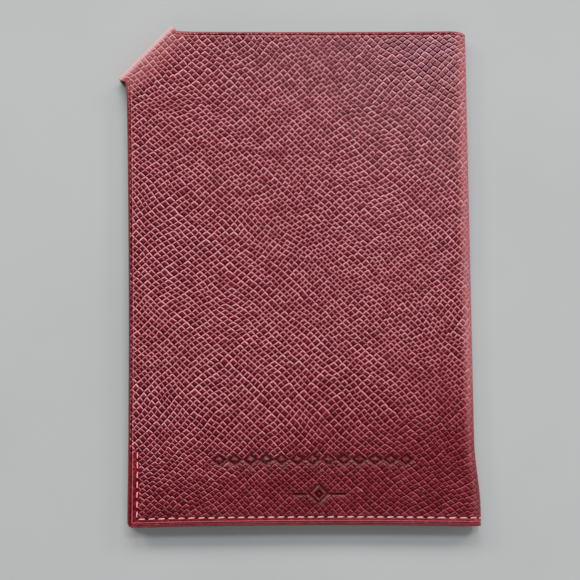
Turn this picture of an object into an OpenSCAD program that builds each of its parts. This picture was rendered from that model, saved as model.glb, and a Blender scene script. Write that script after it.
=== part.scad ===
// Passport holder: a leather cover that opens like a book, lying closed on its back cover.
// One outer leather runs from the back cover, round the spine, to the front cover. At the top
// fore corner of each cover a tab of the same leather is turned inside over a diagonal fold.
// A low pocket for the passport's foot runs along the whole bottom edge, spine included.
// X runs from the fore edge to the spine, Y from the bottom edge to the top edge, Z upwards.

/* [Holder] */
// Width of the closed holder, from the fore edge to the outside of the spine
holder_w = 98; // [92:0.5:112]
// Height of the covers, from the bottom edge to the top edge
holder_h = 141.5; // [132:0.5:160]
// Thickness of the closed holder at the spine
holder_t = 7; // [6.8:0.1:9]
// Radius of the bottom fore corner
corner_r = 1.5; // [0.5:0.1:4]

/* [Layers] */
// Thickness of the outer leather
leather_t = 0.9; // [0.7:0.05:1]
// Thickness of the board in each cover
board_t = 0.3; // [0.2:0.05:0.35]
// Thickness of the lining leather
lining_t = 0.4; // [0.3:0.05:0.45]
// Room for the passport's cover behind the pocket
pocket_room = 0.5; // [0.3:0.05:0.6]
// Thickness of the pocket leather
pocket_t = 0.7; // [0.5:0.05:0.75]
// Distance from the covers' edges to the board
board_inset = 4; // [3.4:0.1:8]

/* [Pocket] */
// Height of the pocket's mouth above the bottom edge
pocket_h = 24; // [22:0.5:60]
// Width of the pocket's sewn margin
margin_w = 3.6; // [3.2:0.1:5]

/* [Corner tab] */
// Width of the tab along its diagonal fold
tab_w = 21.1; // [18:0.1:30]
// Distance from the uncut corner to the outside of the fold
fold_in = 8.24; // [6:0.02:10]
// Length of the turned-in tab, from the outside of the fold
tab_len = 25; // [14:0.5:40]
// Radius of the corners at the tab's free end
tab_end_r = 4; // [1:0.5:8]

/* [Seam] */
// Distance from the bottom edge to the seam
seam_up = 2.3; // [1.8:0.1:2.6]
// Distance from the fore edge to the seam
seam_in = 2.65; // [2:0.05:2.8]
// Length of the seam up the fore edge
seam_side = 19.25; // [14:0.25:20]
// Nominal distance from one stitch to the next
stitch_pitch = 2.75; // [2:0.05:4]
// Part of the pitch that a stitch covers
stitch_share = 0.76; // [0.5:0.02:0.9]
// Diameter of the thread
thread_d = 0.4; // [0.3:0.02:0.42]
// Width of the channel that the stitches lie in
channel_w = 0.6; // [0.5:0.05:1]
// Depth of the channel that the stitches lie in
channel_d = 0.45; // [0.44:0.01:0.48]

/* [Hidden] */

$fn = 96;

// Colours
LEATHER = [0.47, 0.16, 0.19];
POCKET = [0.42, 0.13, 0.16];
LINING = [0.36, 0.11, 0.14];
BOARD = [0.72, 0.66, 0.55];
THREAD = [0.68, 0.27, 0.31];

// The three bodies stay clear of each other by this much
BODY_GAP = 0.3;
// Gap between the two turned-in tabs when the holder is closed
COVER_GAP = 0.4;
// Clearance between the lining's diagonal edge and the fold
LINING_EASE = 0.1;
// How much further in the board's diagonal edge is than the lining's
BOARD_DIAGONAL_EASE = 3;
// Depth of the thread's top below the leather's surface
THREAD_SINK = 0.02;
// Reach of the shapes that cut other shapes
REACH = 200;

// Heights of the layers above the outside of the back cover
lining_z = leather_t;
lining_top = leather_t + board_t + lining_t;
pocket_z = lining_top + pocket_room;
pocket_top = pocket_z + pocket_t;
cover_t = (holder_t - COVER_GAP) / 2;

// The spine is half a tube: its middle line, and where the flat covers end
spine_r = holder_t / 2;
spine_x = holder_w - spine_r;
cover_end = spine_x - BODY_GAP / 2;
spine_start = spine_x + BODY_GAP / 2;

// The tab's roll: outer radius, and where the flat leather ends along the corner's diagonal
roll_r = cover_t / 2;
roll_d = fold_in + roll_r;
wing_end = tab_w / 2;

// The tab's overhang past the outline decides the box, and the box decides the origin
overhang = (tab_w / 2 - fold_in) / sqrt(2);
origin_x = (holder_w - overhang) / 2;
origin_y = (holder_h + overhang) / 2;

// Stitches
row_n = round((spine_x - seam_in) / stitch_pitch);
row_pitch = (spine_x - seam_in) / row_n;
side_n = round(seam_side / stitch_pitch);
side_pitch = seam_side / side_n;
arc_n = round(PI * spine_r / stitch_pitch);
arc_pitch = 180 / arc_n;
thread_in = thread_d / 2 + THREAD_SINK;

// Moves the design's corner coordinates to the part's frame
module placed() {
    translate([-origin_x, -origin_y, 0])
        children();
}

// The front cover is the back cover turned over about the holder's middle plane
module as_front() {
    translate([0, 0, holder_t])
        mirror([0, 0, 1])
            children();
}

// Puts a shape at the uncut top fore corner, with its own X inwards along the diagonal
module at_corner() {
    translate([0, holder_h])
        rotate(-45)
            children();
}

// The half plane from the corner in to a distance along its diagonal
module corner_cut(distance) {
    at_corner()
        translate([distance - REACH, -REACH])
            square([REACH, 2 * REACH]);
}

// A cover's outline, uncut, with its bottom fore corner rounded
module blank(height) {
    difference() {
        square([cover_end, height]);
        difference() {
            square(corner_r);
            translate([corner_r, corner_r])
                circle(r = corner_r);
        }
    }
}

// A cover's outline, inset on its three free sides, cut at the diagonal
module cover_outline(inset, cut) {
    difference() {
        intersection() {
            blank(holder_h);
            translate([inset, inset])
                square([cover_end - 2 * inset, holder_h - 2 * inset]);
        }
        corner_cut(cut);
    }
}

// The channel of the seam in plan: along the bottom and up the fore edge
module seam_channel() {
    translate([seam_in - channel_w / 2, seam_up - channel_w / 2])
        square([cover_end, channel_w]);
    translate([seam_in - channel_w / 2, seam_up - channel_w / 2])
        square([channel_w, seam_side + channel_w]);
}

// One straight stitch along X, centred
module stitch(pitch) {
    rotate([0, 90, 0])
        cylinder(d = thread_d, h = pitch * stitch_share, center = true);
}

// The stitches of one cover at one height
module cover_stitches(height) {
    for (i = [0 : row_n - 1])
        translate([seam_in + (i + 0.5) * row_pitch, seam_up, height])
            stitch(row_pitch);
    for (i = [0 : side_n - 1])
        translate([seam_in, seam_up + (i + 0.5) * side_pitch, height])
            rotate([0, 0, 90])
                stitch(side_pitch);
}

// Puts a shape on the spine's middle line: its own Z runs along Y
module on_spine() {
    translate([spine_x, 0, spine_r])
        rotate([-90, 0, 0])
            children();
}

// Half a tube round the spine's middle line, open towards the fore edge
module spine_shell(outer, inner, length) {
    intersection() {
        on_spine()
            difference() {
                cylinder(r = outer, h = length);
                translate([0, 0, -1])
                    cylinder(r = inner, h = length + 2);
            }
        translate([spine_start, -1, -1])
            cube([holder_t, length + 2, holder_t + 2]);
    }
}

// The seam's channel round the spine, between two radii
module spine_channel(outer, inner) {
    on_spine()
        translate([0, 0, seam_up - channel_w / 2])
            difference() {
                cylinder(r = outer, h = channel_w);
                translate([0, 0, -1])
                    cylinder(r = inner, h = channel_w + 2);
            }
}

// The stitches round the spine, at one radius
module spine_stitches(radius) {
    for (i = [0 : arc_n - 1])
        on_spine()
            translate([0, 0, seam_up])
                rotate(-90 + (i + 0.5 - stitch_share / 2) * arc_pitch)
                    rotate_extrude(angle = arc_pitch * stitch_share)
                        translate([radius, 0])
                            circle(d = thread_d, $fn = 32);
}

// Outer leather of one cover, with the stub of the tab that stands past the outline
module cover_leather() {
    color(LEATHER)
        difference() {
            linear_extrude(leather_t)
                difference() {
                    union() {
                        blank(holder_h);
                        at_corner()
                            translate([0, -tab_w / 2])
                                square([wing_end, tab_w]);
                    }
                    corner_cut(roll_d);
                }
            translate([0, 0, -1])
                linear_extrude(1 + channel_d)
                    seam_channel();
        }
}

// The turned-in corner tab: half a tube along the fold, then a flat tongue
module corner_tab() {
    color(LEATHER)
        translate([0, holder_h, 0])
            rotate(-45) {
                intersection() {
                    translate([roll_d, 0, roll_r])
                        rotate([90, 0, 0])
                            difference() {
                                cylinder(r = roll_r, h = tab_w, center = true);
                                cylinder(r = roll_r - leather_t, h = tab_w + 2, center = true);
                            }
                    translate([roll_d - cover_t, -tab_w, -1])
                        cube([cover_t, 2 * tab_w, cover_t + 2]);
                }
                translate([roll_d, 0, cover_t - leather_t])
                    linear_extrude(leather_t)
                        tongue();
            }
}

// The tongue's plan: a rectangle with its two free corners rounded
module tongue() {
    flat_len = tab_len - roll_r;
    difference() {
        translate([0, -tab_w / 2])
            square([flat_len, tab_w]);
        for (side = [-1, 1])
            difference() {
                translate([flat_len - tab_end_r, side * (tab_w / 2 - tab_end_r / 2) - tab_end_r / 2])
                    square([tab_end_r, tab_end_r]);
                translate([flat_len - tab_end_r, side * (tab_w / 2 - tab_end_r)])
                    circle(r = tab_end_r);
            }
    }
}

// Board that stiffens one cover
module cover_board() {
    color(BOARD)
        translate([0, 0, lining_z])
            linear_extrude(board_t)
                cover_outline(board_inset, roll_d + LINING_EASE + BOARD_DIAGONAL_EASE);
}

// Lining of one cover, which closes round the board's edges
module cover_lining() {
    color(LINING)
        difference() {
            translate([0, 0, lining_z])
                linear_extrude(lining_top - lining_z)
                    cover_outline(0, roll_d + LINING_EASE);
            translate([0, 0, lining_z - 1])
                linear_extrude(board_t + 1)
                    cover_outline(board_inset, roll_d + LINING_EASE + BOARD_DIAGONAL_EASE);
        }
}

// Pocket leather of one cover: a panel with its sewn margins brought down to the lining
module cover_pocket() {
    color(POCKET)
        difference() {
            translate([0, 0, lining_top])
                linear_extrude(pocket_top - lining_top)
                    blank(pocket_h);
            translate([margin_w, margin_w, lining_top - 1])
                cube([holder_w, holder_h, pocket_room + 1]);
            translate([0, 0, pocket_top - channel_d])
                linear_extrude(channel_d + 1)
                    seam_channel();
        }
}

// Needle thread on the outside of one cover
module outer_stitches() {
    color(THREAD)
        cover_stitches(thread_in);
}

// Bobbin thread on the inside of one cover
module inner_stitches() {
    color(THREAD)
        cover_stitches(pocket_top - thread_in);
}

module back_leather() {
    placed()
        cover_leather();
}

module back_corner_tab() {
    placed()
        corner_tab();
}

module back_board() {
    placed()
        cover_board();
}

module back_lining() {
    placed()
        cover_lining();
}

module back_pocket() {
    placed()
        cover_pocket();
}

module back_outer_stitches() {
    placed()
        outer_stitches();
}

module back_inner_stitches() {
    placed()
        inner_stitches();
}

module front_leather() {
    placed()
        as_front()
            cover_leather();
}

module front_corner_tab() {
    placed()
        as_front()
            corner_tab();
}

module front_board() {
    placed()
        as_front()
            cover_board();
}

module front_lining() {
    placed()
        as_front()
            cover_lining();
}

module front_pocket() {
    placed()
        as_front()
            cover_pocket();
}

module front_outer_stitches() {
    placed()
        as_front()
            outer_stitches();
}

module front_inner_stitches() {
    placed()
        as_front()
            inner_stitches();
}

// Outer leather round the spine
module spine_leather() {
    color(LEATHER)
        placed()
            difference() {
                spine_shell(spine_r, spine_r - leather_t, holder_h);
                spine_channel(spine_r + 1, spine_r - channel_d);
            }
}

// Thin strip that keeps the spine round
module spine_strip() {
    color(BOARD)
        placed()
            translate([0, board_inset, 0])
                spine_shell(spine_r - lining_z, spine_r - lining_z - board_t, holder_h - 2 * board_inset);
}

// Lining round the spine
module spine_lining() {
    color(LINING)
        placed()
            difference() {
                spine_shell(spine_r - lining_z, spine_r - lining_top, holder_h);
                translate([0, board_inset, 0])
                    spine_shell(
                        spine_r - lining_z + 1,
                        spine_r - lining_z - board_t,
                        holder_h - 2 * board_inset
                    );
            }
}

// Pocket leather round the spine, with its sewn margin brought out to the lining
module spine_pocket() {
    color(POCKET)
        placed()
            difference() {
                union() {
                    spine_shell(spine_r - pocket_z, spine_r - pocket_top, pocket_h);
                    spine_shell(spine_r - lining_top, spine_r - pocket_top, margin_w);
                }
                spine_channel(spine_r - pocket_top + channel_d, (spine_r - pocket_top) / 2);
            }
}

// Needle thread round the outside of the spine
module spine_outer_stitches() {
    color(THREAD)
        placed()
            spine_stitches(spine_r - thread_in);
}

// Bobbin thread round the inside of the spine
module spine_inner_stitches() {
    color(THREAD)
        placed()
            spine_stitches(spine_r - pocket_top + thread_in);
}

back_leather();
back_corner_tab();
back_board();
back_lining();
back_pocket();
back_outer_stitches();
back_inner_stitches();
spine_leather();
spine_strip();
spine_lining();
spine_pocket();
spine_outer_stitches();
spine_inner_stitches();
front_leather();
front_corner_tab();
front_board();
front_lining();
front_pocket();
front_outer_stitches();
front_inner_stitches();
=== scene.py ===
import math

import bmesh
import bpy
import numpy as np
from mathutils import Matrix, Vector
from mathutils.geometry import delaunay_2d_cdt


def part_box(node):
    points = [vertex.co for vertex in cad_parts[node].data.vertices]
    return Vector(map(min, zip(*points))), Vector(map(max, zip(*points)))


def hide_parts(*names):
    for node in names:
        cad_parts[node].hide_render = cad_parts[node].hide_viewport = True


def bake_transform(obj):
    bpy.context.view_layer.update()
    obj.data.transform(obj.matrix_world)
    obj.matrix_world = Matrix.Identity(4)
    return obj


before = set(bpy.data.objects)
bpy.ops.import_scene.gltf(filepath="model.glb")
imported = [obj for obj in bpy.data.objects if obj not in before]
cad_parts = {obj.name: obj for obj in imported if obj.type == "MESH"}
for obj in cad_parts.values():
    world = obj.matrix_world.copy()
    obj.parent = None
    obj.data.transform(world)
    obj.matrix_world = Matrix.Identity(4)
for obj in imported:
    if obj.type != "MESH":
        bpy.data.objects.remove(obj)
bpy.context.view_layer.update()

# A passport holder of cross-grain leather, closed, lying on its back cover. The CAD frame gives
# its sizes. The leather, lining, pocket and strip are sheets described flat, in millimetres
# (x from the fore edge, y from the bottom edge, depth inwards from the outside), and then rolled
# over the corner fold and round the spine. The threads follow them. Each piece has a front and a
# back half, which meet along the middle of the spine.

MM = 0.001
ROOT2 = math.sqrt(2)
RANDOM_SEED = 11


# ---------------------------------------------------------------- sizes from the frame, in mm

def box_mm(node):
    low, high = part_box(node)
    return low / MM, high / MM


LINING_LOW, LINING_HIGH = box_mm("back_lining")
FORE, FOOT = LINING_LOW.x, LINING_LOW.y
HEIGHT = LINING_HIGH.y - FOOT
SPINE_HIGH = box_mm("spine_leather")[1]
WIDTH = SPINE_HIGH.x - FORE
CLOSED_T = SPINE_HIGH.z
SPINE_R = CLOSED_T / 2
SPINE_X = WIDTH - SPINE_R
MIDDLE_X = SPINE_X + SPINE_R * math.pi / 2
LEATHER_T = box_mm("back_leather")[1].z
LINING_TOP = LINING_HIGH.z
BOARD_LOW, BOARD_HIGH = box_mm("back_board")
POCKET_HIGH = box_mm("back_pocket")[1]
POCKET_H = POCKET_HIGH.y - FOOT
STITCH_LOW, STITCH_HIGH = box_mm("back_outer_stitches")
THREAD_D = STITCH_HIGH.z - STITCH_LOW.z
SEAM_X = STITCH_LOW.x + THREAD_D / 2 - FORE
SEAM_Y = STITCH_LOW.y + THREAD_D / 2 - FOOT
SEAM_TOP = STITCH_HIGH.y - FOOT

# The corner tab, along the diagonal from the uncut corner inwards (q) and across it (p)
tab_xyz = np.array([v.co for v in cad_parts["back_corner_tab"].data.vertices]) / MM
tab_q = ((tab_xyz[:, 0] - FORE) - (tab_xyz[:, 1] - FOOT - HEIGHT)) / ROOT2
tab_p = ((tab_xyz[:, 0] - FORE) + (tab_xyz[:, 1] - FOOT - HEIGHT)) / ROOT2
TAB_W = float(tab_p.max() - tab_p.min())
ROLL_R = float(tab_xyz[:, 2].max()) / 2
ROLL_Q = float(tab_q.min()) + ROLL_R
TONGUE_LEN = float(tab_q.max()) - ROLL_Q
TAB_TIP_Q = ROLL_Q - math.pi * ROLL_R - TONGUE_LEN
WING = TAB_W / ROOT2

# ---------------------------------------------------------------- sizes of the looks, in mm

SKEW = 0.86  # how much lower the spine lies than the fore edge
FLARE = 1.4  # how far the spine bulges over the pocket
FLARE_TOP = 24.0  # where the bulge starts above the foot, and where it is full
FLARE_FULL = 5.0
FLARE_REACH = 14.0  # how far in from the spine it reaches
BOW_FORE = 0.65  # how far the middle of each edge lies inside its ends
BOW_FOOT = 0.55
BOW_HEAD = 0.25
SHOULDER_DROP = 0.4  # how far the spine's head drops, and over which width
SHOULDER_REACH = 1.5
SPLAY = 0.8  # how far the lower end of the corner's fold splays
ROLL_OUT = 0.4  # how far the corner's fold is pushed outwards
LIP_R = 0.38  # radius of the sheets' rounded edges
CREASE_IN = 0.97  # the creased line's distance from the edge, half width and depth
CREASE_HALF = 0.17
CREASE_DEEP = 0.14
SEAM_DIP = 0.09  # how deep the seam pulls in the leather and the pocket, and over which width
POCKET_DIP = 0.12
SEAM_DIP_HALF = 0.5
ROW_STITCHES = 35  # stitches of one half along the bottom, and up the fore edge
ROW_PITCH = (MIDDLE_X - SEAM_X) / ROW_STITCHES
SIDE_STITCHES = 7
SIDE_PITCH = (SEAM_TOP - SEAM_Y + 0.3) / SIDE_STITCHES
STITCH_SHARE = 0.78
POCKET_T = 0.68
EASE = 0.02  # clearance between sheets that lie on each other
MARGIN_DROP = 0.45  # how far the pocket is pulled down along its seam, and up to where
MARGIN_END = 6.5

STAMP_DEEP = 0.25  # the blind stamps: a row, and an emblem below it
ROW_MARKS = 13
STAMP_LINE_X, STAMP_LINE_Y, STAMP_LINE_W, STAMP_LINE_H = 51.9, 18.4, 57.0, 2.6
EMBLEM_X, EMBLEM_Y, EMBLEM_W, EMBLEM_H = 53.6, 8.7, 15.0, 5.6
STAMPS = (
    (STAMP_LINE_X, STAMP_LINE_Y, STAMP_LINE_W, STAMP_LINE_H),
    (EMBLEM_X, EMBLEM_Y, EMBLEM_W, EMBLEM_H),
)

GRAIN_PITCH = 1.45  # the cross grain: distance between grooves, their directions and depth
GRAIN_UNEVEN = 0.7
GRAIN_ANGLES = (46.0, -49.5)
GRAIN_DEEP = 0.24
GROOVE_HALF = 0.21
GRAIN_WARPS = ((0.022, 8.0), (0.09, 1.7), (0.4, 0.5))  # scale and reach of its waves
SPINE_STRETCH_AND_SHEEN = 0.16  # how much lighter stretched leather and edges with wear are, partly as painted highlights
ROLL_STRETCH_AND_SHEEN = 0.8
EDGE_WEAR_AND_SHEEN = 0.15

EDGE_STEP = 0.8  # mesh steps: along edges, inside, on curves and in the stamps
INNER_STEP = 1.1
CURVE_STEP = 0.24
STAMP_STEP = 0.2
MIN_ROUND = 0.25


def smooth(low, high, value):
    """0 before low, 1 after high, eased in between; low may be the larger one."""
    t = np.clip((np.asarray(value, float) - low) / (high - low), 0, 1)
    return t * t * (3 - 2 * t)


# ---------------------------------------------------------------- from the flat sheet to space

def diagonal(x, y):
    """Distance inwards from the uncut top fore corner along its diagonal, and across it."""
    return (x - (y - HEIGHT)) / ROOT2, (x + (y - HEIGHT)) / ROOT2


def from_diagonal(q, p):
    """The flat sheet's x and y of a point at these distances."""
    return (q + p) / ROOT2, HEIGHT + (p - q) / ROOT2


def roll_tab(x, y, depth):
    """Turns what lies past the corner's fold over the roll and back inside the cover."""
    q, p = diagonal(x, y)
    p = p - SPLAY * smooth(-4.0, -10.0, p) * smooth(ROLL_Q + 1.5, ROLL_Q - 1.0, q)
    past = np.clip(ROLL_Q - q, 0, None)
    angle = np.minimum(past / ROLL_R, math.pi)
    radius = ROLL_R - depth
    turned_q = ROLL_Q - radius * np.sin(angle) + (past - angle * ROLL_R)
    out = ROLL_OUT * smooth(ROLL_Q + 4.0, ROLL_Q - 1.0, q)
    q = np.where(past > 0, turned_q, q) - out
    z = np.where(past > 0, ROLL_R - radius * np.cos(angle), depth)
    return (*from_diagonal(q, p), z)


def relax(x, y):
    """The slight bow and skew of the edges, the spine's bulge over the pocket, and the slight
    drop of its head."""
    up, along = y / HEIGHT, x / WIDTH
    bulge_y = smooth(FLARE_TOP, FLARE_FULL, y)
    bulge_x = smooth(SPINE_X - FLARE_REACH, SPINE_X + SPINE_R, x)
    dx = BOW_FORE * (1 - (2 * up - 1) ** 2) * np.clip(1 - along, 0, 1) + FLARE * bulge_y * bulge_x
    bell = np.clip(1 - (2 * along - 1) ** 2, 0, 1)
    dy = bell * (BOW_FOOT * np.clip(1 - up, 0, 1) ** 2 - BOW_HEAD * np.clip(up, 0, 1) ** 2)
    shoulder = smooth(SPINE_X - SHOULDER_REACH, WIDTH, x) * smooth(0.96, 1.0, up)
    dy = dy - SKEW * (along - 0.5) - SHOULDER_DROP * shoulder
    return x + dx, y + dy


def place(x, y, depth, front, rolled=False):
    """Points of a flat sheet in their place on the closed holder, in metres."""
    x, y, depth = np.broadcast_arrays(*(np.asarray(a, float) for a in (x, y, depth)))
    z = depth
    if rolled:
        x, y, z = roll_tab(x, y, depth)
    angle = np.clip(x - SPINE_X, 0, None) / SPINE_R
    radius = SPINE_R - z
    z = np.where(angle > 0, SPINE_R - radius * np.cos(angle), z)
    x = np.where(angle > 0, SPINE_X + radius * np.sin(angle), x)
    x, y = relax(x, y)
    if front:
        z = CLOSED_T - z
    return np.stack([FORE + x, FOOT + y, z], axis=-1) * MM


# ---------------------------------------------------------------- flat patches

def steps_along(length, zones):
    """Distances along an edge of this length, closer together inside the zones."""
    at, out = 0.0, [0.0]
    while at < length - 0.5 * CURVE_STEP:
        fine = any(a <= at < b for a, b in zones)
        at = min(at + (CURVE_STEP if fine else EDGE_STEP), length)
        out.append(at)
    out[-1] = length
    return np.array(out) / length


def right_of(direction):
    return np.array([direction[1], -direction[0]])


def ring(corners, shares, inset):
    """The outline's points at a distance inside it. The outline is open and has its inside on
    the right; corners are (x, y, radius, zones), the first and last one on the spine's middle.
    Each corner's zones are the stretches of the edge after it that have a finer mesh."""
    points = [np.array(c[:2], float) for c in corners]
    ways = [(b - a) / np.linalg.norm(b - a) for a, b in zip(points, points[1:])]
    ends = [[points[0] + right_of(ways[0]) * inset]]
    for i in range(1, len(points) - 1):
        n_in, n_out = right_of(ways[i - 1]), right_of(ways[i])
        turn = math.atan2(n_in[0] * n_out[1] - n_in[1] * n_out[0], float(n_in @ n_out))
        spread = (n_in + n_out) / (1 + float(n_in @ n_out))
        if turn < 0:
            radius = max(corners[i][2] - inset, MIN_ROUND)
            centre, sign = points[i] + spread * (inset + radius), -1
        else:
            radius = corners[i][2] + inset
            centre, sign = points[i] - spread * corners[i][2], 1
        count = 10 if corners[i][2] > 1 else 6
        arc = []
        for k in range(count + 1):
            a = math.atan2(n_in[1], n_in[0]) + turn * k / count
            arc.append(centre + sign * radius * np.array([math.cos(a), math.sin(a)]))
        ends.append(arc)
    ends.append([points[-1] + right_of(ways[-1]) * inset])
    out = [ends[0][0]]
    for i, share in enumerate(shares):
        a, b = ends[i][-1], ends[i + 1][0]
        out += [a + (b - a) * s for s in share[1:]]
        out += ends[i + 1][1:]
    return np.array(out)


def far_from(points, line, gap):
    """Which points keep at least gap away from a polyline."""
    a, b = line[:-1], line[1:]
    keep = np.ones(len(points), bool)
    for start in range(0, len(points), 2000):
        p = points[start:start + 2000, None, :]
        d = b - a
        t = np.clip(((p - a) * d).sum(2) / (d * d).sum(1), 0, 1)
        near = np.linalg.norm(p - (a + t[..., None] * d), axis=2).min(1)
        keep[start:start + 2000] = near > gap[start:start + 2000]
    return keep


def inside(points, loop):
    """Which points lie inside a closed polygon."""
    x, y = points[:, 0], points[:, 1]
    within = np.zeros(len(points), bool)
    for (ax, ay), (bx, by) in zip(loop, np.roll(loop, -1, axis=0)):
        if ay == by:
            continue
        crosses = ((ay > y) != (by > y)) & (x < (bx - ax) * (y - ay) / (by - ay) + ax)
        within ^= crosses
    return within


def fill(loop, lattice):
    """Triangles inside a closed loop: their points, faces, and each point's place in the loop."""
    points, gaps = lattice
    keep = inside(points, loop) & far_from(points, np.vstack([loop, loop[:1]]), gaps)
    n = len(loop)
    made = delaunay_2d_cdt([Vector(p) for p in np.vstack([loop, points[keep]])],
                           [(i, (i + 1) % n) for i in range(n)], [], 1, 1e-6)
    sources = [source[0] if source else -1 for source in made[3]]
    return np.array([v[:] for v in made[0]]), made[2], sources


class Patch:
    """A flat piece of sheet: rings along its free edges, and a lattice inside the last ring."""

    def __init__(self, corners, insets, lattice):
        lengths = [math.dist(a[:2], b[:2]) for a, b in zip(corners, corners[1:])]
        shares = [steps_along(length, c[3]) for length, c in zip(lengths, corners)]
        rings = [ring(corners, shares, inset) for inset in insets]
        self.count = len(rings[0])
        starts = [r * self.count for r in range(len(rings))]
        foot, head = rings[-1][0], rings[-1][-1]
        rows = max(2, round((head[1] - foot[1]) / INNER_STEP))
        middle = [[foot[0], foot[1] + (head[1] - foot[1]) * k / rows] for k in range(1, rows)]
        loop = np.vstack([rings[-1], np.array(middle[::-1])])
        verts, faces, sources = fill(loop, lattice)
        extra = [i for i, source in enumerate(sources) if not 0 <= source < self.count]
        index = {i: starts[-1] + source for i, source in enumerate(sources)}
        index.update({i: starts[-1] + self.count + k for k, i in enumerate(extra)})
        self.xy = np.vstack([*rings, verts[extra]])
        self.inset = np.concatenate(
            [np.repeat(insets, self.count), np.full(len(extra), insets[-1] + 1.0)])
        self.faces = []
        for a, b in zip(starts, starts[1:]):
            self.faces += [(a + i, a + i + 1, b + i + 1, b + i) for i in range(self.count - 1)]
        self.faces += [tuple(index[i] for i in f) for f in faces]
        by_source = {source: index[i] for i, source in enumerate(sources)}
        between = [by_source[len(loop) - 1 - k] for k in range(len(middle))]
        self.middle = starts + between + [start + self.count - 1 for start in reversed(starts)]

    def rim_normals(self):
        """The outward direction at each point of the outline."""
        rim = self.xy[:self.count]
        way = np.gradient(rim, axis=0)
        way /= np.linalg.norm(way, axis=1)[:, None]
        return np.stack([-way[:, 1], way[:, 0]], axis=1)


def lattice_of(*grids):
    """Grids of (points, step) as one list of points with the gap each keeps from the rings."""
    points = np.vstack([g[0] for g in grids])
    gaps = np.concatenate([np.full(len(g[0]), 0.45 * g[1]) for g in grids])
    return points, gaps


def grid(x0, x1, y0, y1, step_x, step_y):
    nx, ny = max(1, round((x1 - x0) / step_x)), max(1, round((y1 - y0) / step_y))
    xs, ys = np.meshgrid(np.linspace(x0, x1, nx + 1), np.linspace(y0, y1, ny + 1))
    return np.stack([xs.ravel(), ys.ravel()], axis=1)


def outside_box(points, x, y, w, h):
    return (np.abs(points[:, 0] - x) > w / 2) | (np.abs(points[:, 1] - y) > h / 2)


# ---------------------------------------------------------------- the flat patterns

EDGE_INSETS = (0.0, 0.03, 0.08, 0.15, 0.25, 0.38, 0.55, 0.72, 0.82, 0.9, 0.97, 1.04, 1.12, 1.22,
               1.31, 1.4, 1.52, 1.75, 1.95, 2.1, 2.25, 2.4, 2.55, 2.7, 2.85, 3.05, 3.3, 3.7)
POCKET_INSETS = (0.0, 0.03, 0.08, 0.15, 0.25, 0.38, 0.55, 0.8, 0.9, 0.97, 1.04, 1.14, 1.4, 1.8,
                 2.1, 2.3, 2.5, 2.65, 2.85, 3.2, 3.7)
LINING_INSETS = (0.0, 0.05, 0.12, 0.25, 0.5, 1.5, 3.0)
STRIP_INSETS = (0.0, 0.1, 0.3)
SPINE_ZONE = MIDDLE_X - SPINE_X + 1.0


def spine_grid(y0, y1):
    return grid(SPINE_X - 0.4, MIDDLE_X - CURVE_STEP, y0, y1, CURVE_STEP, INNER_STEP)


def leather_patch():
    """Outer leather of one half, flat: the cover, half the spine, and the tab at the corner."""
    half = TAB_W / 2
    roll_zone = (0.3, half - ROLL_Q + math.pi * ROLL_R + 0.6)
    side = half - TAB_TIP_Q
    back_zone = (side - roll_zone[1], side - roll_zone[0])
    top = MIDDLE_X - WING
    corners = [
        (MIDDLE_X, 0.0, 0.0, [(0, SPINE_ZONE)]),
        (0.0, 0.0, 1.5, []),
        (0.0, HEIGHT - WING, 0.3, [roll_zone]),
        (*from_diagonal(TAB_TIP_Q, -half), 4.0, []),
        (*from_diagonal(TAB_TIP_Q, half), 4.0, [back_zone]),
        (WING, HEIGHT, 0.3, [(top - SPINE_ZONE, top)]),
        (MIDDLE_X, HEIGHT, 0.0, []),
    ]
    flat = grid(0, SPINE_X - 0.8, 0, HEIGHT, INNER_STEP, INNER_STEP)
    flat = flat[diagonal(flat[:, 0], flat[:, 1])[0] > ROLL_Q + 1.0]
    for x, y, w, h in STAMPS:
        flat = flat[outside_box(flat, x, y, w + 2, h + 2)]
    stamps = [
        grid(x - w / 2, x + w / 2, y - h / 2, y + h / 2, STAMP_STEP, STAMP_STEP)
        for x, y, w, h in [(x, y, w + 1, h + 1) for x, y, w, h in STAMPS]
    ]
    roll_low = ROLL_Q - math.pi * ROLL_R - 0.5
    roll = grid(roll_low, ROLL_Q + 0.5, -half, half, CURVE_STEP, INNER_STEP)
    tongue = grid(TAB_TIP_Q, roll_low - 0.8, -half, half, INNER_STEP, INNER_STEP)
    roll, tongue = (np.stack(from_diagonal(g[:, 0], g[:, 1]), axis=1) for g in (roll, tongue))
    return Patch(corners, EDGE_INSETS, lattice_of(
        (flat, INNER_STEP), (spine_grid(0, HEIGHT), CURVE_STEP), (roll, CURVE_STEP),
        (tongue, INNER_STEP), *((stamp_grid, STAMP_STEP) for stamp_grid in stamps)))


def lining_patch():
    """Lining of one half, cut off short of the corner's fold."""
    cut = (ROLL_Q + 0.1) * ROOT2
    top = MIDDLE_X - cut
    corners = [
        (MIDDLE_X, 0.0, 0.0, [(0, SPINE_ZONE)]),
        (0.0, 0.0, 1.5, []),
        (0.0, HEIGHT - cut, 0.4, []),
        (cut, HEIGHT, 0.4, [(top - SPINE_ZONE, top)]),
        (MIDDLE_X, HEIGHT, 0.0, []),
    ]
    flat = grid(0, SPINE_X - 0.8, 0, HEIGHT, 2 * INNER_STEP, 2 * INNER_STEP)
    return Patch(corners, LINING_INSETS,
                 lattice_of((flat, INNER_STEP), (spine_grid(0, HEIGHT), CURVE_STEP)))


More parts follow.
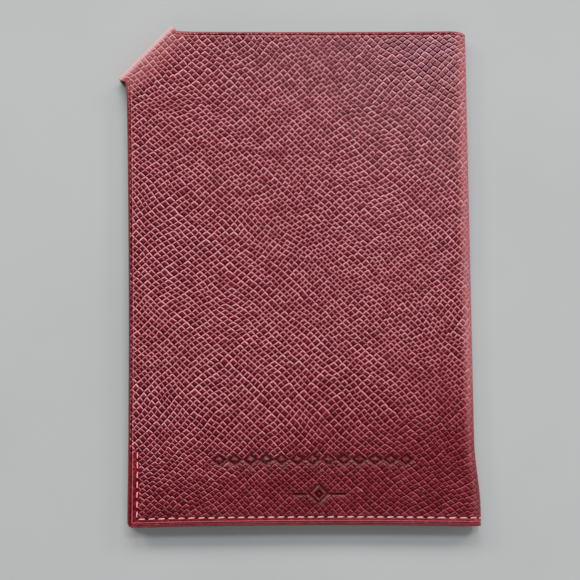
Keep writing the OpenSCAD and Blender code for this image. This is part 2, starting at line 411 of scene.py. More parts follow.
def pocket_patch():
    """Bottom pocket of one half."""
    corners = [
        (MIDDLE_X, 0.0, 0.0, [(0, SPINE_ZONE)]),
        (0.0, 0.0, 1.5, []),
        (0.0, POCKET_H, 1.2, [(MIDDLE_X - SPINE_ZONE, MIDDLE_X)]),
        (MIDDLE_X, POCKET_H, 0.0, []),
    ]
    flat = grid(0, SPINE_X - 0.8, 0, POCKET_H, INNER_STEP, INNER_STEP)
    return Patch(corners, POCKET_INSETS,
                 lattice_of((flat, INNER_STEP), (spine_grid(0, POCKET_H), CURVE_STEP)))


def strip_patch():
    """Reinforcing strip of one half of the spine."""
    low, high = BOARD_LOW.y - FOOT, BOARD_HIGH.y - FOOT
    corners = [
        (MIDDLE_X, low, 0.0, [(0, SPINE_ZONE)]),
        (SPINE_X - 0.1, low, 0.2, []),
        (SPINE_X - 0.1, high, 0.2, [(0, SPINE_ZONE)]),
        (MIDDLE_X, high, 0.0, []),
    ]
    return Patch(corners, STRIP_INSETS, lattice_of((spine_grid(low, high), CURVE_STEP)))


# ---------------------------------------------------------------- relief of the sheets

def seam_distance(x, y):
    """Distance from the seam: along the bottom edge, and a little way up the fore edge."""
    bottom = np.hypot(np.clip(SEAM_X - x, 0, None), y - SEAM_Y)
    side = np.hypot(x - SEAM_X, np.clip(y - SEAM_TOP, 0, None) + np.clip(SEAM_Y - y, 0, None))
    return np.minimum(bottom, side)


def lip(d):
    """Depth of the rounded edge at a distance inside the outline."""
    t = np.clip(1 - np.asarray(d, float) / LIP_R, 0, 1)
    return LIP_R * (1 - np.sqrt(1 - t * t))


def crease(d):
    """Share of the creased line's depth at a distance inside the outline."""
    return np.clip(1 - (np.abs(d - CREASE_IN) / CREASE_HALF) ** 2, 0, 1)


def lozenge_line(x, y, half_w, half_h, stroke):
    """1 on the outline of a lozenge round the origin, 0 off it."""
    slope = math.hypot(1 / half_w, 1 / half_h)
    off = np.abs(np.abs(x) / half_w + np.abs(y) / half_h - 1) / slope
    return smooth(stroke, 0.4 * stroke, off)


def stamp(x, y, stroke=0.34):
    """Share of the blind stamp's depth: a row of lozenges, and a lozenge between two dashes."""
    pitch = STAMP_LINE_W / ROW_MARKS
    along = x - STAMP_LINE_X
    cell = along - pitch * np.round(along / pitch)
    row = lozenge_line(cell, y - STAMP_LINE_Y, 0.36 * pitch, STAMP_LINE_H / 2, stroke)
    row *= (np.abs(along) < STAMP_LINE_W / 2) & (np.abs(y - STAMP_LINE_Y) < STAMP_LINE_H / 2 + 0.8)
    ex, ey = x - EMBLEM_X, y - EMBLEM_Y
    emblem = lozenge_line(ex, ey, 2.6, EMBLEM_H / 2 - 0.2, stroke)
    emblem = np.maximum(emblem, lozenge_line(ex, ey, 0.9, 0.9, stroke))
    dash = smooth(stroke, 0.4 * stroke, np.abs(ey)) * (np.abs(np.abs(ex) - 5.4) < 1.9)
    emblem = np.maximum(emblem, dash)
    emblem *= (np.abs(ex) < EMBLEM_W / 2 + 0.8) & (np.abs(ey) < EMBLEM_H / 2 + 0.8)
    return np.maximum(row, emblem)


def on_cover(x, y):
    """1 on the cover, fading to 0 on the tab, whose edges have no creased line."""
    return smooth(ROLL_Q + 0.2, ROLL_Q + 1.6, diagonal(x, y)[0])


def leather_depth(x, y, d, front):
    cover = on_cover(x, y)
    depth = lip(d) * (0.4 + 0.6 * cover) + CREASE_DEEP * crease(d) * cover
    depth = depth + SEAM_DIP * smooth(SEAM_DIP_HALF, 0, seam_distance(x, y))
    if front:
        depth = depth + STAMP_DEEP * stamp(x, y)
    return depth


def pocket_drop(x, y):
    """How far the pocket is pulled down to the lining along its seam, as a share."""
    near = np.minimum(y, np.where(x < SPINE_X, x, MIDDLE_X))
    return smooth(MARGIN_END, SEAM_X, near)


def pocket_surface(x, y):
    return POCKET_HIGH.z - MARGIN_DROP * pocket_drop(x, y)


# ---------------------------------------------------------------- meshes

def attribute(mesh, name, kind, values):
    field = "vector" if kind == "FLOAT_VECTOR" else "value"
    made = mesh.attributes.new(name, kind, "POINT")
    made.data.foreach_set(field, np.asarray(values, np.float32).ravel())


def new_object(name, verts, faces, materials, indices=None, sharp=40.0):
    """A mesh object with smooth shading, sharp where its faces meet at a steep angle."""
    mesh = bpy.data.meshes.new(name)
    mesh.from_pydata(np.asarray(verts).tolist(), [], faces)
    for m in materials:
        mesh.materials.append(m)
    if indices is not None:
        mesh.polygons.foreach_set("material_index", indices)
    bm = bmesh.new()
    bm.from_mesh(mesh)
    bmesh.ops.recalc_face_normals(bm, faces=bm.faces)
    bm.to_mesh(mesh)
    bm.free()
    mesh.shade_smooth()
    mesh.set_sharp_from_angle(angle=math.radians(sharp))
    obj = bpy.data.objects.new(name, mesh)
    bpy.context.scene.collection.objects.link(obj)
    return obj


RIM_ROWS = ((0.2, 0.03), (0.5, 0.05), (0.8, 0.03))  # share of the way down, and fullness
THREAD_RINGS = 15
THREAD_SIDES = 15
PLIES = 3
PLY_TURNS = 0.9
PLY_SWELL = 0.13


def sheet_faces(patch):
    """Faces of a closed sheet and their materials: 0 outer face, 1 inner face, 2 rim."""
    n, flat, middle = len(patch.xy), len(patch.faces), patch.middle
    faces = [tuple(f) for f in patch.faces]
    faces += [tuple(n + i for i in reversed(f)) for f in patch.faces]
    levels = [0] + [2 * n + k * patch.count for k in range(len(RIM_ROWS))] + [n]
    for a, b in zip(levels, levels[1:]):
        faces += [(a + i, b + i, b + i + 1, a + i + 1) for i in range(patch.count - 1)]
    faces += [(i, j, n + j, n + i) for i, j in zip(middle, middle[1:])]
    faces += [tuple(level + end for level in levels) for end in (0, patch.count - 1)]
    return faces, [0] * flat + [1] * flat + [2] * (len(faces) - 2 * flat)


def sheet_object(name, patch, outer, inner, front, materials, rolled=False, fields=None):
    """A closed sheet from a flat patch. outer and inner are the depths of its two faces, and the
    rim between them is a little full. materials are those of the outer face, inner face and rim."""
    x, y = patch.xy[:, 0], patch.xy[:, 1]
    rim_xy, rim_n = patch.xy[:patch.count], patch.rim_normals()
    rim_n[0][0] = rim_n[-1][0] = 0  # the two halves meet flush on the spine's middle
    verts = [place(x, y, outer, front, rolled), place(x, y, inner, front, rolled)]
    flat = [patch.xy, patch.xy]
    for share, full in RIM_ROWS:
        row = rim_xy + rim_n * full
        depth = outer[:patch.count] * (1 - share) + inner[:patch.count] * share
        verts.append(place(row[:, 0], row[:, 1], depth, front, rolled))
        flat.append(row)
    faces, indices = sheet_faces(patch)
    obj = new_object(name, np.vstack(verts), faces, materials, indices)
    flat = np.vstack(flat)
    along = flat[:, 0] if front else 2 * MIDDLE_X - flat[:, 0]
    attribute(obj.data, "sheet", "FLOAT_VECTOR", np.stack([along, flat[:, 1], 0 * along], axis=1))
    for key, values in (fields or {}).items():
        rim = np.tile(values[:patch.count], len(RIM_ROWS))
        attribute(obj.data, key, "FLOAT", np.concatenate([values, values, rim]))
    return obj


def stitch_lines(rng):
    """The seam's stitches on the flat sheet, each as its two ends."""
    lines = []
    for i in range(ROW_STITCHES):
        reach = ROW_PITCH * STITCH_SHARE * rng.uniform(0.94, 1.04) / 2
        centre, tilt = SEAM_X + (i + 0.5) * ROW_PITCH, rng.uniform(0.03, 0.13)
        shift = rng.uniform(-0.05, 0.05)
        lines.append(((centre - reach, SEAM_Y + shift - reach * tilt),
                      (centre + reach, SEAM_Y + shift + reach * tilt)))
    for i in range(SIDE_STITCHES):
        reach = SIDE_PITCH * STITCH_SHARE * rng.uniform(0.92, 1.04) / 2
        centre, tilt = SEAM_Y + (i + 0.5) * SIDE_PITCH, rng.uniform(-0.02, 0.13)
        lines.append(((SEAM_X - reach * tilt, centre - reach),
                      (SEAM_X + reach * tilt, centre + reach)))
    return lines


def stitch_path(line, surface, front):
    """Centres of a stitch's rings, and the directions away from the sheet and across it there."""
    (x0, y0), (x1, y1) = line
    s = np.linspace(0, 1, THREAD_RINGS)
    x, y = x0 + (x1 - x0) * s, y0 + (y1 - y0) * s
    arch = np.clip(np.sin(math.pi * s), 0, 1) ** 0.35
    depth = surface(x, y) + 0.5 * THREAD_D * (1.9 - 1.5 * arch)
    centre = place(x, y, depth, front)
    out = place(x, y, depth - 0.1, front) - centre
    way = np.gradient(centre, axis=0)
    way /= np.linalg.norm(way, axis=1)[:, None]
    out -= way * (out * way).sum(1)[:, None]
    out /= np.linalg.norm(out, axis=1)[:, None]
    return centre, out, np.cross(way, out)


def thread_faces(base):
    """Faces of one closed stitch, whose points start at base."""
    faces = []
    for k in range(THREAD_RINGS - 1):
        for i in range(THREAD_SIDES):
            j = (i + 1) % THREAD_SIDES
            r0, r1 = base + k * THREAD_SIDES, base + (k + 1) * THREAD_SIDES
            faces.append((r0 + i, r0 + j, r1 + j, r1 + i))
    faces.append(tuple(base + i for i in reversed(range(THREAD_SIDES))))
    last = base + (THREAD_RINGS - 1) * THREAD_SIDES
    faces.append(tuple(last + i for i in range(THREAD_SIDES)))
    return faces


def thread_object(name, lines, surface, front, material):
    """Short plied stitches that rise out of one hole and go down the next."""
    verts, faces, along = [], [], []
    a = np.linspace(0, 2 * math.pi, THREAD_SIDES, endpoint=False)
    for line in lines:
        centre, out, across = stitch_path(line, surface, front)
        faces += thread_faces(len(verts) * THREAD_SIDES)
        for k, s in enumerate(np.linspace(0, 1, THREAD_RINGS)):
            plied = 1 + PLY_SWELL * np.cos(PLIES * (a - 2 * math.pi * PLY_TURNS * s))
            swell = 0.5 * THREAD_D * MM * plied
            verts.append(centre[k] + swell[:, None] * (
                np.cos(a)[:, None] * out[k] + np.sin(a)[:, None] * across[k]))
            along.append(np.stack([a / (2 * math.pi), np.full(THREAD_SIDES, s), 0 * a], axis=1))
    obj = new_object(name, np.vstack(verts), faces, [material], sharp=60.0)
    attribute(obj.data, "sheet", "FLOAT_VECTOR", np.vstack(along))
    return obj


def bend(obj, front):
    """Bakes a half's transform into its mesh."""
    if front:
        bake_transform(obj)
    else:
        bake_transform(obj)


# ---------------------------------------------------------------- materials

class Graph:
    """Short names for the nodes that the materials are made of."""

    def __init__(self, name):
        self.material = bpy.data.materials.new(name)
        self.material.use_nodes = True
        self.nodes = self.material.node_tree.nodes
        self.links = self.material.node_tree.links
        self.bsdf = self.nodes["Principled BSDF"]

    def put(self, socket, value):
        if isinstance(value, bpy.types.NodeSocket):
            self.links.new(value, socket)
        else:
            socket.default_value = value

    def surface(self, **values):
        for key, value in values.items():
            self.put(self.bsdf.inputs[key.replace("_", " ")], value)

    def attribute(self, name):
        node = self.nodes.new("ShaderNodeAttribute")
        node.attribute_name = name
        return node

    def math(self, operation, a, b=0.0, c=0.0):
        node = self.nodes.new("ShaderNodeMath")
        node.operation = operation
        for socket, value in zip(node.inputs, (a, b, c)):
            self.put(socket, value)
        return node.outputs[0]

    def plus(self, a, b):
        return self.math("ADD", a, b)

    def minus(self, a, b):
        return self.math("SUBTRACT", a, b)

    def times(self, a, b):
        return self.math("MULTIPLY", a, b)

    def vector(self, operation, a, b):
        node = self.nodes.new("ShaderNodeVectorMath")
        node.operation = operation
        self.put(node.inputs[0], a)
        if operation == "SCALE":
            self.put(node.inputs["Scale"], b)
        else:
            self.put(node.inputs[1], b)
        return node.outputs[0]

    def split(self, vector):
        node = self.nodes.new("ShaderNodeSeparateXYZ")
        self.put(node.inputs[0], vector)
        return node.outputs

    def join(self, x, y, z=0.0):
        node = self.nodes.new("ShaderNodeCombineXYZ")
        for socket, value in zip(node.inputs, (x, y, z)):
            self.put(socket, value)
        return node.outputs[0]

    def noise(self, vector, scale, detail=1.0, rough=0.5):
        node = self.nodes.new("ShaderNodeTexNoise")
        self.put(node.inputs["Vector"], vector)
        self.put(node.inputs["Scale"], scale)
        self.put(node.inputs["Detail"], detail)
        self.put(node.inputs["Roughness"], rough)
        return node

    def hash(self, vector):
        node = self.nodes.new("ShaderNodeTexWhiteNoise")
        self.put(node.inputs["Vector"], vector)
        return node.outputs["Value"]

    def span(self, value, low, high, to_low=0.0, to_high=1.0):
        """Eased steps from to_low to to_high as the value goes from low to high."""
        node = self.nodes.new("ShaderNodeMapRange")
        node.interpolation_type = "SMOOTHSTEP"
        for key, v in (("Value", value), ("From Min", low), ("From Max", high),
                       ("To Min", to_low), ("To Max", to_high)):
            self.put(node.inputs[key], v)
        return node.outputs[0]

    def blend(self, factor, a, b):
        node = self.nodes.new("ShaderNodeMix")
        node.data_type = "RGBA"
        self.put(node.inputs["Factor"], factor)
        self.put(node.inputs[6], a)
        self.put(node.inputs[7], b)
        return node.outputs[2]

    def bump(self, height, distance):
        node = self.nodes.new("ShaderNodeBump")
        self.put(node.inputs["Height"], height)
        self.put(node.inputs["Distance"], distance)
        return node.outputs[0]


def waved(g, sheet):
    """The sheet's coordinates, gently waved."""
    moved = sheet
    for scale, reach in GRAIN_WARPS:
        wave = g.vector("SUBTRACT", g.noise(sheet, scale, 0.0).outputs["Color"], (0.5, 0.5, 0.5))
        moved = g.vector("ADD", moved, g.vector("SCALE", wave, reach))
    return moved


def groove_counts(g, sheet):
    """For each of the two families of grooves, a value that grows by 1 from groove to groove."""
    x, y, _ = g.split(waved(g, sheet))
    counts = []
    for angle in GRAIN_ANGLES:
        c = math.cos(math.radians(angle)) / GRAIN_PITCH
        s = math.sin(math.radians(angle)) / GRAIN_PITCH
        even = g.plus(g.times(x, c), g.times(y, s))
        spread = g.noise(g.join(even, angle), 0.42, 0.0).outputs["Fac"]
        counts.append(g.math("MULTIPLY_ADD", spread, GRAIN_UNEVEN, even))
    return counts


def broken_counts(g, sheet):
    """The grooves' counts, with the first family broken up like bricks near the front cover's
    foot and fore edge, and the second one far from there."""
    first, second = groove_counts(g, sheet)
    x, y, _ = g.split(sheet)
    lean = g.plus(g.times(x, 0.9 / WIDTH), g.math("MULTIPLY_ADD", y, 0.9 / HEIGHT, -0.35))
    lean = g.plus(lean, g.times(g.noise(sheet, 0.03).outputs["Fac"], 0.5))
    shifts = [g.times(g.hash(g.join(g.math("FLOOR", count), seed)), 0.5)
              for count, seed in ((first, 0.5), (second, 1.5))]
    return (g.plus(first, g.times(shifts[1], g.span(lean, 0.45, 0.0))),
            g.plus(second, g.times(shifts[0], g.span(lean, 0.45, 0.9))))


def groove_parts(g, count, crossing, seed, upwards):
    """One family's walls, the painted highlights on the rims below its grooves and the painted shade on
    the sides above them.
    crossing is the cell's number in the other family. Some stretches of groove are faint."""
    share = g.math("FRACT", count)
    off = g.math("ABSOLUTE", g.minus(share, 0.5))
    wall = g.span(g.minus(0.5, off), 0.0, GROOVE_HALF)
    chance = g.hash(g.join(g.math("ROUND", count), crossing, seed))
    keep = g.span(chance, 0.0, 0.16, 0.3, 1.0)
    wall = g.minus(1.0, g.times(g.minus(1.0, wall), keep))
    # Painted highlight on each cell's upper rim, below the groove above it, and painted shade on its
    # lower side.
    upper = share if upwards else g.minus(1.0, share)
    highlight_band = g.plus(g.span(upper, 0.83, 0.91, 0.0, 0.95), g.span(upper, 0.4, 0.9, 0.0, 0.05))
    highlight_band = g.times(highlight_band, g.span(upper, 0.98, 0.94))
    return wall, g.times(highlight_band, keep), g.times(g.span(upper, 0.36, 0.10), keep)


def cross_grain(g, sheet):
    """Height of an embossed cross grain, 0 in its grooves and about 1 on its cells, a random
    number for each cell, and the shares of the painted highlights on the cells' upper rims and of
    the painted shade on their lower sides."""
    first, second = broken_counts(g, sheet)
    column, row = g.math("FLOOR", first), g.math("FLOOR", second)
    cell = g.hash(g.join(column, row, 3.5))
    wall_a, highlight_a, shade_a = groove_parts(g, first, row, 7.5, True)
    wall_b, highlight_b, shade_b = groove_parts(g, second, column, 8.5, False)
    height = g.times(wall_a, wall_b)
    # Painted highlights on the cells' upper rims, kept off the grooves.
    rim = g.times(g.math("MAXIMUM", highlight_a, highlight_b), g.span(height, 0.02, 0.3))
    uneven = g.math("MULTIPLY_ADD", cell, 0.25, 0.85)
    return g.times(height, uneven), cell, rim, g.math("MAXIMUM", shade_a, shade_b)


def painted_light_falloff(g, sheet):
    """How strong the painted highlights on the rims and the painted shade are: weaker towards the foot,
    and weakest by the spine there.
    """
    x, y, _ = g.split(sheet)
    up = g.math("MULTIPLY_ADD", x, -0.2 / WIDTH, g.times(y, 1 / HEIGHT))
    return g.span(g.math("MULTIPLY_ADD", g.noise(sheet, 0.05).outputs["Fac"], 0.1, up),
                  -0.03, 0.31, 0.17, 0.93)


def needle_holes(g, sheet):
    """1 in the leather's needle holes, between the stitches of the outline seam."""
    x, y, _ = g.split(sheet)
    folded = g.minus(MIDDLE_X, g.math("ABSOLUTE", g.minus(x, MIDDLE_X)))
    from_side, from_foot = g.minus(folded, SEAM_X), g.minus(y, SEAM_Y)
    holes = []
    for along, across, pitch in (
            (from_side, from_foot, ROW_PITCH), (from_foot, from_side, SIDE_PITCH)):
        turns = g.math("DIVIDE", along, pitch)
        off = g.times(g.minus(turns, g.math("ROUND", turns)), pitch)
        far = g.math("SQRT", g.plus(g.times(off, off), g.times(across, across)))
        holes.append(g.span(far, 0.34, 0.12))
    side = g.times(holes[1], g.math("LESS_THAN", y, SEAM_TOP + 0.5))
    return g.math("MAXIMUM", holes[0], side)


def grained_leather(name):
    """Coated, embossed leather, with painted highlights on its cells' upper rims and painted shade in
    its grooves, on the cells' lower sides and in the needle holes. The attribute grain fades its
    relief, dye darkens it, and the attribute for stretching and sheen lightens it, for stretched
    leather, wear and painted highlights."""
    g = Graph(name)
    sheet = g.attribute("sheet").outputs["Vector"]
    amount = g.attribute("grain").outputs["Fac"]
    dye = g.attribute("dye").outputs["Fac"]
    stretch_and_sheen = g.attribute("stretch_and_sheen").outputs["Fac"]
    height, cell, rim, shade = cross_grain(g, sheet)
    groove = g.span(height, 0.1, 0.5, 1.0, 0.0)
    pores = g.noise(sheet, 5.5, 2.0, 0.6).outputs["Fac"]
    mottle = g.noise(sheet, 0.045, 3.0, 0.6).outputs["Fac"]
    # How strong the painted highlights and shade are, across the cover.
    painted_light_share = painted_light_falloff(g, sheet)
    hole = needle_holes(g, sheet)

    tone = g.plus(g.times(cell, 0.45), g.times(mottle, 0.75))
    colour = g.blend(g.span(tone, 0.2, 0.95), FLAT_DARK, FLAT_LIGHT)
    # Painted shade on the cells' lower sides and in the grooves, weaker towards the foot.
    painted_shade_share = g.times(amount, g.math("MULTIPLY_ADD", painted_light_share, 0.75, 0.3))
    colour = g.blend(g.times(g.times(shade, painted_shade_share), 0.7), colour, DYE_AND_SHADE)
    colour = g.blend(g.times(g.times(groove, painted_shade_share), 0.85), colour, DYE_AND_SHADE)
    # Painted highlights on the cells' upper rims, weaker towards the foot.
    rim_highlight = g.times(g.times(rim, g.math("MULTIPLY_ADD", cell, 0.6, 0.36)), painted_light_share)
    colour = g.blend(g.times(rim_highlight, amount), colour, PAINTED_HIGHLIGHT)
    colour = g.blend(dye, colour, DYE_AND_SHADE)
    # Lighter where stretched or with wear, and painted highlights on the corner's roll, the spine and
    # the edges.
    pulled_and_sheen = g.times(stretch_and_sheen, g.span(pores, 0.3, 0.7, 0.78, 1.1))
    colour = g.blend(pulled_and_sheen, colour, STRETCHED_AND_SHEEN)
    # Painted shade in the needle holes.
    colour = g.blend(g.times(hole, 0.55), colour, DYE_AND_SHADE)

    relief = g.times(g.math("MULTIPLY_ADD", pores, 0.04, height), amount)
    rough = g.plus(g.math("MULTIPLY_ADD", groove, 0.2, 0.2), g.times(pores, 0.08))
    g.surface(Base_Color=colour, Roughness=g.math("MULTIPLY_ADD", stretch_and_sheen, 0.1, rough),
              Specular_IOR_Level=g.math("MULTIPLY_ADD", groove, -0.1, 0.14),
              Normal=g.bump(g.minus(relief, hole), GRAIN_DEEP * MM))
    return g.material


def smooth_leather(name, dark, light, roughness=0.55, relief=0.03):
    """Plain leather with fine pores: linings, flesh sides and painted edges."""
    g = Graph(name)
    sheet = g.attribute("sheet").outputs["Vector"]
    pores = g.noise(sheet, 2.4, 4.0, 0.66).outputs["Fac"]
    mottle = g.noise(sheet, 0.10, 4.0, 0.6).outputs["Fac"]
    tone = g.plus(g.times(pores, 0.6), g.times(mottle, 0.4))
    g.surface(Base_Color=g.blend(g.span(tone, 0.3, 0.7), dark, light),
              Roughness=g.span(pores, 0.3, 0.7, roughness - 0.08, roughness + 0.08),
              Normal=g.bump(pores, relief * MM))
    g.surface(Sheen_Weight=0.06, Sheen_Roughness=0.4, Specular_IOR_Level=0.22)
    return g.material


def thread_material(name, dark, light):
    """Waxed sewing thread with fine fibres wound along it, and painted shade between its plies."""
    g = Graph(name)
    around, along, _ = g.split(g.attribute("sheet").outputs["Vector"])
    wound = g.math("FRACT", g.times(g.minus(around, g.times(along, PLY_TURNS)), PLIES))
    # Painted shade: darker in the valleys between the plies, lighter on their middles.
    ply_shading = g.minus(1.0, g.math("ABSOLUTE", g.math("MULTIPLY_ADD", wound, 2.0, -1.0)))
    fibres = g.noise(g.join(g.times(wound, 9.0), g.times(along, 3.0)), 4.0, 2.0).outputs["Fac"]
    tone = g.math("MULTIPLY_ADD", fibres, 0.4, g.times(ply_shading, 0.7))
    g.surface(Base_Color=g.blend(g.span(tone, 0.1, 0.9), dark, light),
              Roughness=g.span(fibres, 0.3, 0.7, 0.35, 0.5),
              Normal=g.bump(fibres, 0.02 * MM))
    g.surface(Sheen_Weight=0.3, Sheen_Roughness=0.35)
    return g.material


def board_material(name):
    """Grey-brown fibre board."""
    g = Graph(name)
    where = g.nodes.new("ShaderNodeTexCoord").outputs["Object"]
    fibres = g.noise(where, 900.0, 4.0, 0.7).outputs["Fac"]
    g.surface(Base_Color=g.blend(g.span(fibres, 0.3, 0.7), (0.33, 0.27, 0.19, 1),
                                 (0.46, 0.39, 0.29, 1)),
              Roughness=g.span(fibres, 0.3, 0.7, 0.8, 0.95), Normal=g.bump(fibres, 0.03 * MM))
    return g.material


def floor_material(name):
    """Pale matt floor."""
    g = Graph(name)
    where = g.nodes.new("ShaderNodeTexCoord").outputs["Object"]
    cloud = g.noise(where, 14.0, 4.0, 0.55).outputs["Fac"]
    g.surface(Base_Color=g.blend(g.span(cloud, 0.3, 0.7), (0.262, 0.267, 0.262, 1),
                                 (0.290, 0.295, 0.290, 1)), Roughness=0.85)
    return g.material


# The leather: its flats; the dark colour of its edge dye and stamps, also used as painted shade
# in its grooves, on its cells' lower sides and in the needle holes; the painted highlights on its
# cells' upper rims; and where it is stretched or has wear, lighter, partly as a painted highlight
FLAT_DARK = (0.045, 0.0017, 0.0042, 1)
FLAT_LIGHT = (0.077, 0.0048, 0.0092, 1)
DYE_AND_SHADE = (0.017, 0.0004, 0.0009, 1)
PAINTED_HIGHLIGHT = (1.0, 0.30, 0.375, 1)
STRETCHED_AND_SHEEN = (0.95, 0.24, 0.26, 1)

LEATHER = grained_leather("cross_grain_leather")
POCKET_LEATHER = grained_leather("pocket_leather")
EDGE_PAINT = smooth_leather("painted_edge", (0.060, 0.007, 0.011, 1), (0.095, 0.010, 0.016, 1),
                            roughness=0.38, relief=0.015)
FLESH = smooth_leather("leather_flesh_side", (0.105, 0.018, 0.022, 1), (0.150, 0.028, 0.034, 1),
                       roughness=0.75)
LINING = smooth_leather("lining_leather", (0.082, 0.007, 0.012, 1), (0.150, 0.017, 0.025, 1),
                        relief=0.12)
THREAD = thread_material("waxed_thread", (0.50, 0.05, 0.08, 1), (0.90, 0.18, 0.24, 1))
BOARD = board_material("fibre_board")

# ---------------------------------------------------------------- the holder

def grain_fields(patch, stamped):
    """How much grain, dye and darkening, and lightening from stretching, wear and painted highlights,
    each point of a patch has.
    """
    x, y, d = patch.xy[:, 0], patch.xy[:, 1], patch.inset
    q = diagonal(x, y)[0]
    grain = smooth(0.35, 0.9, d) * (1 - 0.9 * crease(d))
    grain = grain * (1 - 0.7 * smooth(ROLL_Q + 0.2, ROLL_Q - 2.4, q)
                     * smooth(ROLL_Q - 9.0, ROLL_Q - 6.0, q))
    seam = seam_distance(x, y)
    hem = smooth(0.5, 0.2, np.minimum(y - SEAM_Y, np.where(y < SEAM_TOP, x - SEAM_X, 9.0)))
    grain = grain * (1 - 0.6 * smooth(1.1, 0.3, seam)) * (1 - 0.8 * hem)
    cover = on_cover(x, y)
    dye = 0.3 * smooth(0.5, 0.1, d) * (0.3 + 0.7 * cover)
    # Darker along the creased line.
    dye = np.maximum(dye, 0.5 * crease(d) * cover)
    if stamped:
        grain = grain * (1 - 0.95 * stamp(x, y, 0.9))
        dye = np.maximum(dye, 0.85 * stamp(x, y))
    # The corner's roll: lighter as stretched leather, and as a painted highlight.
    stretch_and_sheen = ROLL_STRETCH_AND_SHEEN * smooth(ROLL_Q + 0.3, ROLL_Q - 1.3, q)
    stretch_and_sheen = (stretch_and_sheen + 0.12 * smooth(ROLL_Q + 6.0, ROLL_Q, q)) * smooth(ROLL_Q - 5.0, ROLL_Q - 2.6, q)
    # The edges: lighter with wear, and a painted highlight just inside the creased line.
    worn_and_sheen = np.maximum(0.5 * smooth(0.5, 0.2, d), smooth(0.2, 0.05, np.abs(d - CREASE_IN - 0.34)))
    stretch_and_sheen = np.maximum(stretch_and_sheen, EDGE_WEAR_AND_SHEEN * worn_and_sheen * cover)
    # Round the spine: lighter as stretched leather, and as a painted highlight.
    spine = smooth(SPINE_X - 0.5, SPINE_X + 2.5, x) * (0.3 + 0.7 * smooth(10.0, 50.0, y))
    stretch_and_sheen = np.maximum(stretch_and_sheen, SPINE_STRETCH_AND_SHEEN * spine)
    return {"grain": grain, "dye": dye, "stretch_and_sheen": stretch_and_sheen}


def make_leather(patch, side, front):
    x, y, d = patch.xy[:, 0], patch.xy[:, 1], patch.inset
    depth = leather_depth(x, y, d, front)
    obj = sheet_object(f"{side}_outer_leather", patch, depth, np.full(len(x), LEATHER_T), front,
                       [LEATHER, FLESH, EDGE_PAINT], rolled=True,
                       fields=grain_fields(patch, front))
    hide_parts(f"{side}_leather", f"{side}_corner_tab", "spine_leather")
    bend(obj, front)


def make_lining(patch, side, front):
    d = patch.inset
    outside = np.where(d < LINING_INSETS[-1], LEATHER_T, BOARD_HIGH.z) + EASE
    inside_face = LINING_TOP - 0.6 * lip(d)
    obj = sheet_object(f"{side}_lining_leather", patch, outside, inside_face, front,
                       [FLESH, LINING, EDGE_PAINT])
    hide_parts(f"{side}_lining", "spine_lining")
    bend(obj, front)


def make_pocket(patch, side, front):
    x, y, d = patch.xy[:, 0], patch.xy[:, 1], patch.inset
    face = pocket_surface(x, y)
    shown = face - lip(d) - CREASE_DEEP * crease(d)
    shown = shown - POCKET_DIP * smooth(SEAM_DIP_HALF, 0, seam_distance(x, y))
    hidden = np.maximum(face - POCKET_T, LINING_TOP + EASE)
    obj = sheet_object(f"{side}_bottom_pocket", patch, shown, hidden, front,
                       [POCKET_LEATHER, FLESH, EDGE_PAINT],
                       fields=grain_fields(patch, False))
    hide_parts(f"{side}_pocket", "spine_pocket")
    bend(obj, front)


def make_strip(patch, side, front):
    n = len(patch.xy)
    obj = sheet_object(f"{side}_spine_strip", patch, np.full(n, BOARD_LOW.z + EASE),
                       np.full(n, BOARD_HIGH.z - EASE), front, [BOARD, BOARD, BOARD])
    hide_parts("spine_strip")
    bend(obj, front)


def make_threads(side, front, rng):
    lines = stitch_lines(rng)
    outer = thread_object(f"{side}_needle_thread", lines,
                          lambda x, y: np.full(len(x), SEAM_DIP), front, THREAD)
    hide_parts(f"{side}_outer_stitches", "spine_outer_stitches")
    bend(outer, front)
    inner = thread_object(f"{side}_bobbin_thread", lines,
                          lambda x, y: pocket_surface(x, y) - POCKET_DIP, front, THREAD)
    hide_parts(f"{side}_inner_stitches", "spine_inner_stitches")
    bend(inner, front)


def make_holder():
    rng = np.random.default_rng(RANDOM_SEED)
    leather, lining = leather_patch(), lining_patch()
    pocket, strip = pocket_patch(), strip_patch()
    for side, front in (("back", False), ("front", True)):
        make_leather(leather, side, front)
        make_lining(lining, side, front)
        make_pocket(pocket, side, front)
        make_strip(strip, side, front)
        make_threads(side, front, rng)
        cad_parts[f"{side}_board"].data.materials.clear()
        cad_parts[f"{side}_board"].data.materials.append(BOARD)


# ---------------------------------------------------------------- camera, floor and light

CAMERA_AT = (37.89, 16.24, 513.0)
CAMERA_TURN = (5.7, -0.88, -0.72)
CAMERA_LENS = 111.49
SENSOR = 36.0


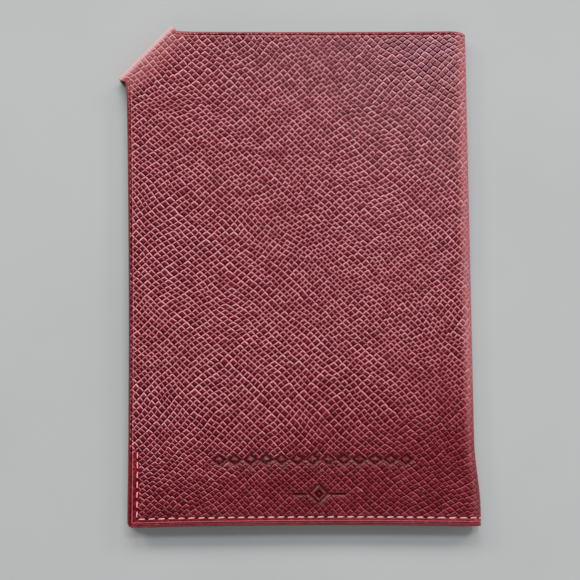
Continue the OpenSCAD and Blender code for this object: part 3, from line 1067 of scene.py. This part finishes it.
def make_camera():
    """Looks almost straight down, from a little below the holder's foot."""
    data = bpy.data.cameras.new("camera")
    data.lens, data.sensor_width = CAMERA_LENS, SENSOR
    data.clip_start, data.clip_end = 0.01, 20.0
    obj = bpy.data.objects.new("camera", data)
    obj.location = (Vector((FORE, FOOT, 0)) + Vector(CAMERA_AT)) * MM
    obj.rotation_euler = [math.radians(a) for a in CAMERA_TURN]
    bpy.context.scene.collection.objects.link(obj)
    bpy.context.scene.camera = obj


def make_floor():
    half = 8.0
    corners = [(-half, -half, 0), (half, -half, 0), (half, half, 0), (-half, half, 0)]
    mesh = bpy.data.meshes.new("floor")
    mesh.from_pydata(corners, [], [(0, 1, 2, 3)])
    mesh.materials.append(floor_material("pale_floor"))
    obj = bpy.data.objects.new("floor", mesh)
    bpy.context.scene.collection.objects.link(obj)


def add_area(name, at, size, power, colour=(1, 1, 1)):
    """A soft box that faces the holder."""
    data = bpy.data.lights.new(name, "AREA")
    data.shape = "RECTANGLE"
    data.size, data.size_y = size
    data.energy, data.color = power, colour
    obj = bpy.data.objects.new(name, data)
    obj.location = at
    obj.rotation_euler = (-Vector(at)).to_track_quat("-Z", "Y").to_euler()
    bpy.context.scene.collection.objects.link(obj)


def make_lights():
    add_area("sky_head", (-0.05, 0.82, 0.80), (0.7, 0.4), 18.5)
    add_area("sky_left", (-0.72, 0.66, 0.72), (0.4, 0.3), 10.0)
    add_area("sky_right", (0.72, 0.66, 0.72), (0.4, 0.3), 10.0)
    add_area("sheen", (0.20, 0.40, 1.0), (0.35, 0.15), 7.8, (0.78, 0.88, 1.0))
    add_area("side", (1.1, 0.1, 0.45), (0.3, 0.5), 3.0)
    add_area("fill", (0.1, -0.7, 0.9), (1.0, 0.6), 6.0)
    world = bpy.data.worlds.new("studio")
    world.use_nodes = True
    back = world.node_tree.nodes["Background"]
    back.inputs["Color"].default_value = (0.80, 0.83, 0.86, 1)
    back.inputs["Strength"].default_value = 0.1
    bpy.context.scene.world = world


make_camera()
make_holder()
make_floor()
make_lights()
